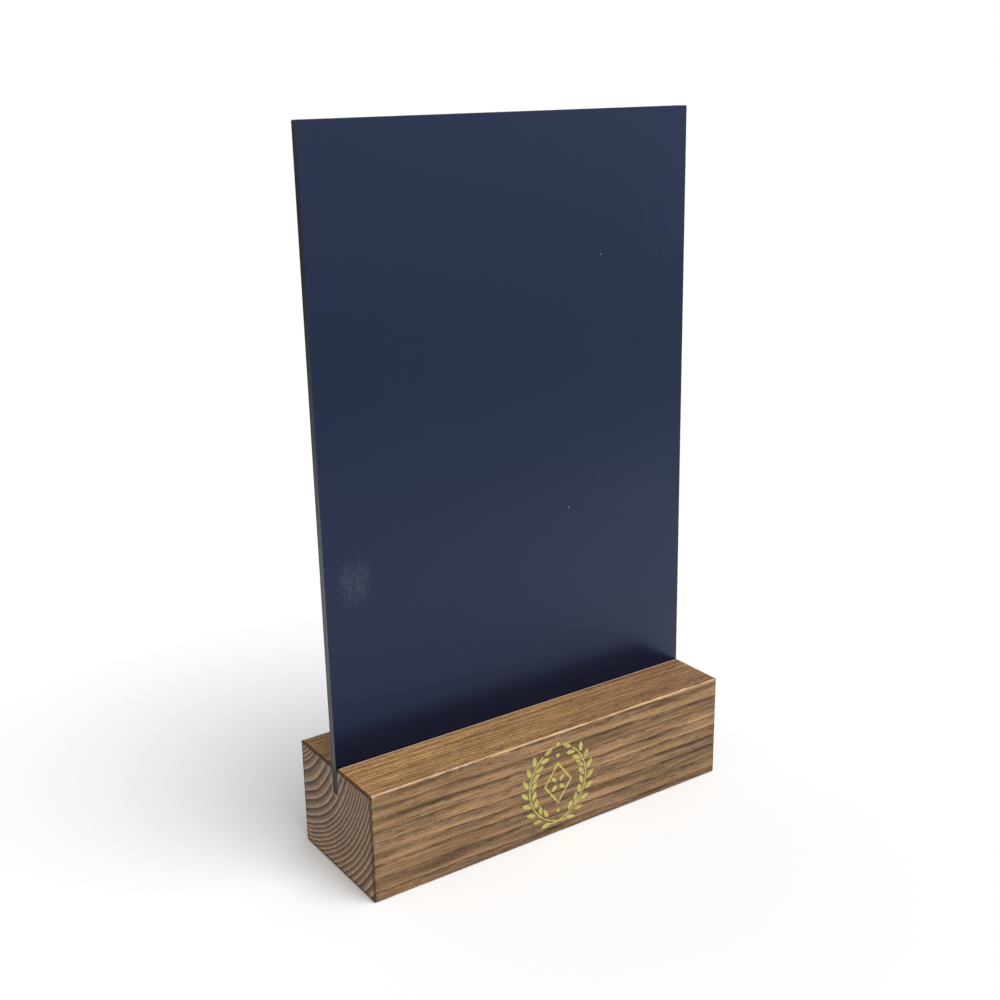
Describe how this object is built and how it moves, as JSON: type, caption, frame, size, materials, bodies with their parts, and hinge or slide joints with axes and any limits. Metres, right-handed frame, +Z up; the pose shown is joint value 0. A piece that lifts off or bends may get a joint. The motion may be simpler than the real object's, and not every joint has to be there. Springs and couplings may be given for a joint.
{
  "type": "tabletop chalkboard",
  "caption": "Upright rectangular writing board standing in the long open-ended slot of a solid wooden block, lifted out to write on or turn round.",
  "frame": {"origin": "on the table, under the middle of the block", "axes": "+Z up, the front writing face looks along -Y, +X to the right seen from the front"},
  "size_m": [0.152, 0.0494, 0.2506],
  "materials": {
    "stained_wood": "satin",
    "core_plastic": "matte",
    "navy_writing_coat": "satin"
  },
  "bodies": {
    "base": {"base_block": "stained_wood"},
    "board": {"board_core": "core_plastic", "front_writing_face": "navy_writing_coat", "rear_writing_face": "navy_writing_coat"}
  },
  "joints": [
    {"name": "board_lift", "type": "slide", "parent": "base", "child": "board", "axis": [0, 0.0087, 1], "range_m": [0, 0.02]}
  ]
}
